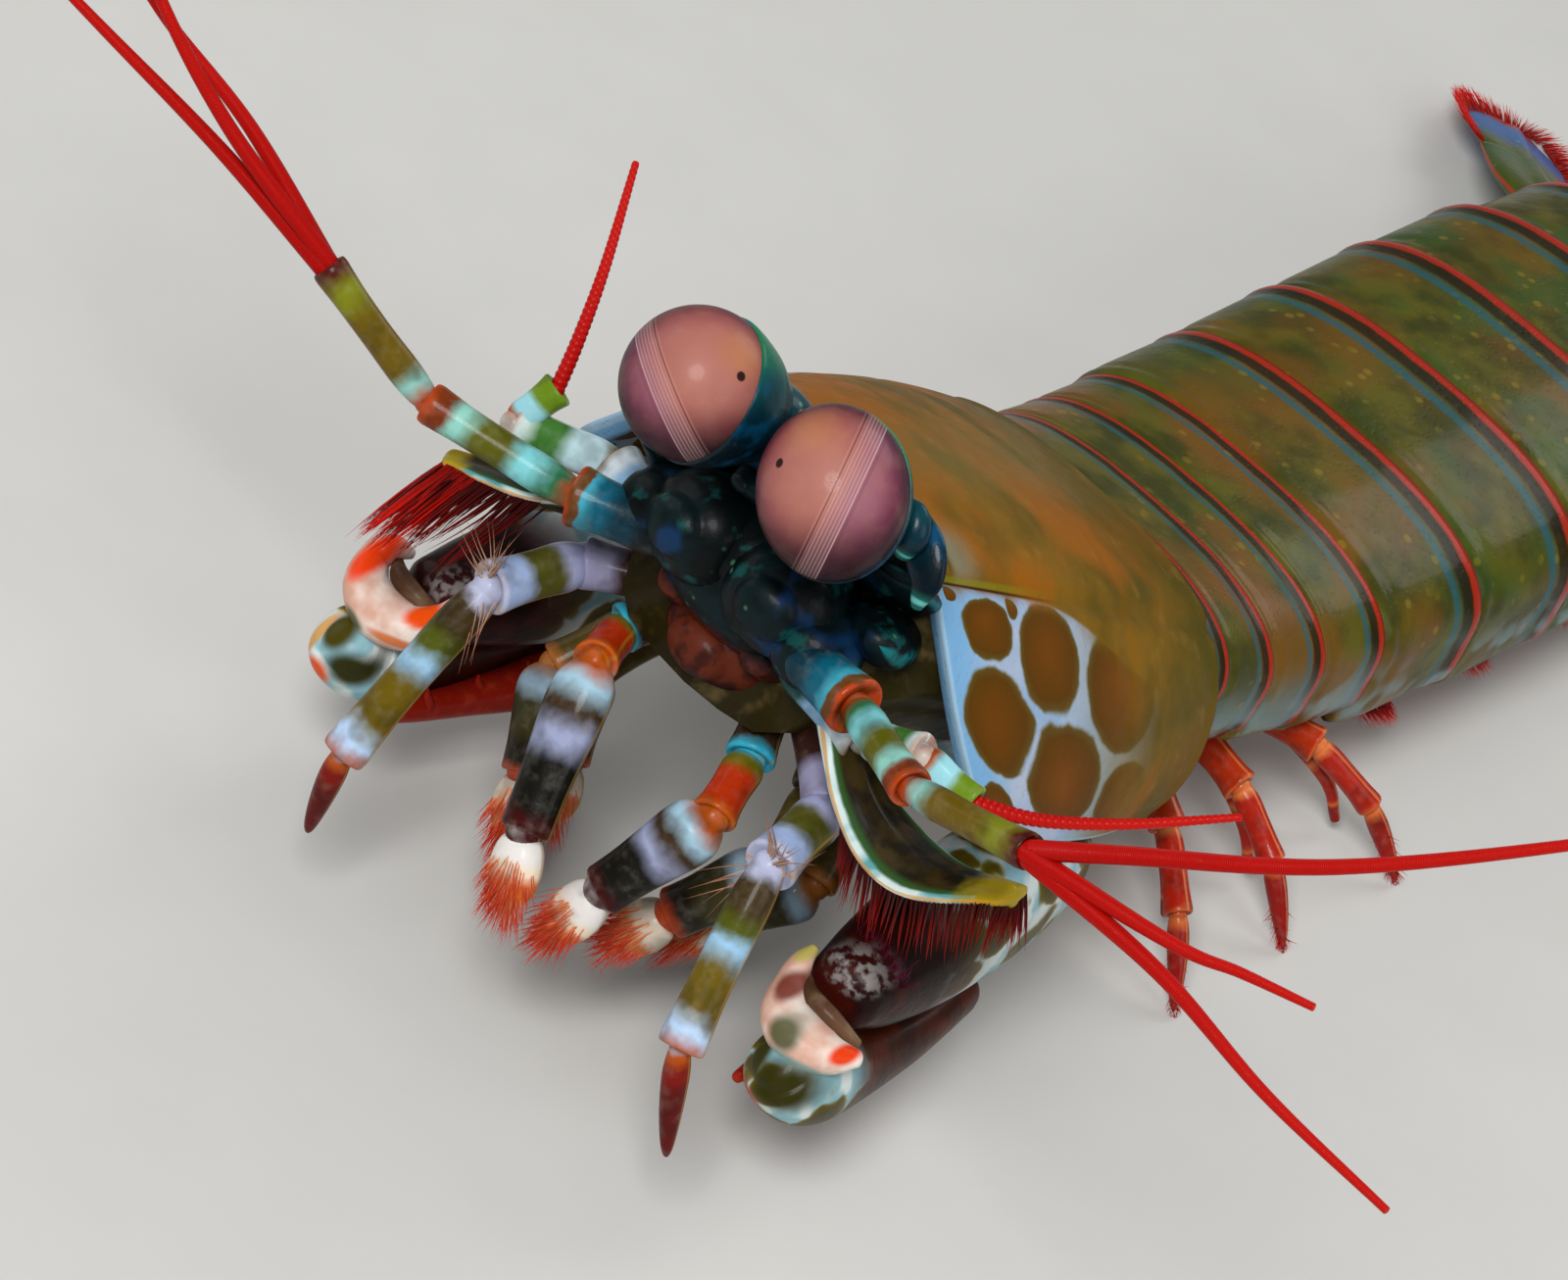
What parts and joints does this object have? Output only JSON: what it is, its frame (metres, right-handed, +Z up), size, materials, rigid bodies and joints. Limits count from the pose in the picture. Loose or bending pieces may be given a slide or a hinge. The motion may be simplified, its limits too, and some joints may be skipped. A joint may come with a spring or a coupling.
{
  "type": "peacock mantis shrimp",
  "caption": "Life-size still model of a peacock mantis shrimp standing with its forebody raised, claws folded and feelers spread.",
  "frame": {"origin": "on the floor under the middle of the animal's bounding box", "axes": "+Z up, +Y from head to tail, +X to the animal's left"},
  "size_m": [0.0964, 0.1426, 0.0558],
  "materials": {
    "carapace_shell": "semi-gloss olive-brown shell, pale blue network with brown spots on the sides",
    "body_shell": "semi-gloss olive-green shell with dark and red rear edges",
    "head_shell": "wet dark teal shell",
    "cornea": "glossy dusty rose with a finely striped middle band",
    "limb_shell": "semi-gloss, banded olive, pale blue and white, orange at the joints",
    "flagellum": "bright red",
    "claw_shell": "semi-gloss white and pale blue with olive spots and orange rims",
    "leg_shell": "orange-red with a red fringe",
    "pleopod_leaf": "thin orange-red leaves with a red fringe",
    "tail_shell": "semi-gloss green-blue with red and orange edges"
  },
  "bodies": {
    "root": {"carapace": "carapace_shell", "rostral_plate": "carapace_shell", "thorax_front": "body_shell", "thorax_6": "body_shell", "thorax_7": "body_shell", "thorax_8": "body_shell", "abdomen_1": "body_shell", "abdomen_2": "body_shell", "abdomen_3": "body_shell", "abdomen_4": "body_shell", "abdomen_5": "body_shell", "abdomen_6": "body_shell", "head": "head_shell", "telson": "tail_shell", "eye_left": "cornea", "eye_right": "cornea", "eyestalk_left": "head_shell", "eyestalk_right": "head_shell", "antennule_left": "limb_shell", "antenna_left": "limb_shell", "antennal_scale_left": "limb_shell", "maxilliped_1_left": "limb_shell", "maxilliped_3_left": "limb_shell", "maxilliped_4_left": "limb_shell", "maxilliped_5_left": "limb_shell", "antennule_right": "limb_shell", "antenna_right": "limb_shell", "antennal_scale_right": "limb_shell", "maxilliped_1_right": "limb_shell", "maxilliped_3_right": "limb_shell", "maxilliped_4_right": "limb_shell", "maxilliped_5_right": "limb_shell", "flagella_left": "flagellum", "flagella_right": "flagellum", "claw_arm_left": "claw_shell", "claw_wrist_left": "claw_shell", "claw_hand_left": "claw_shell", "claw_finger_left": "claw_shell", "claw_arm_right": "claw_shell", "claw_wrist_right": "claw_shell", "claw_hand_right": "claw_shell", "claw_finger_right": "claw_shell", "walking_leg_1_left": "leg_shell", "walking_leg_2_left": "leg_shell", "walking_leg_3_left": "leg_shell", "walking_leg_1_right": "leg_shell", "walking_leg_2_right": "leg_shell", "walking_leg_3_right": "leg_shell", "pleopod_1_left": "pleopod_leaf", "pleopod_2_left": "pleopod_leaf", "pleopod_3_left": "pleopod_leaf", "pleopod_4_left": "pleopod_leaf", "pleopod_5_left": "pleopod_leaf", "pleopod_1_right": "pleopod_leaf", "pleopod_2_right": "pleopod_leaf", "pleopod_3_right": "pleopod_leaf", "pleopod_4_right": "pleopod_leaf", "pleopod_5_right": "pleopod_leaf", "uropod_left": "tail_shell", "uropod_right": "tail_shell"}
  },
  "joints": []
}
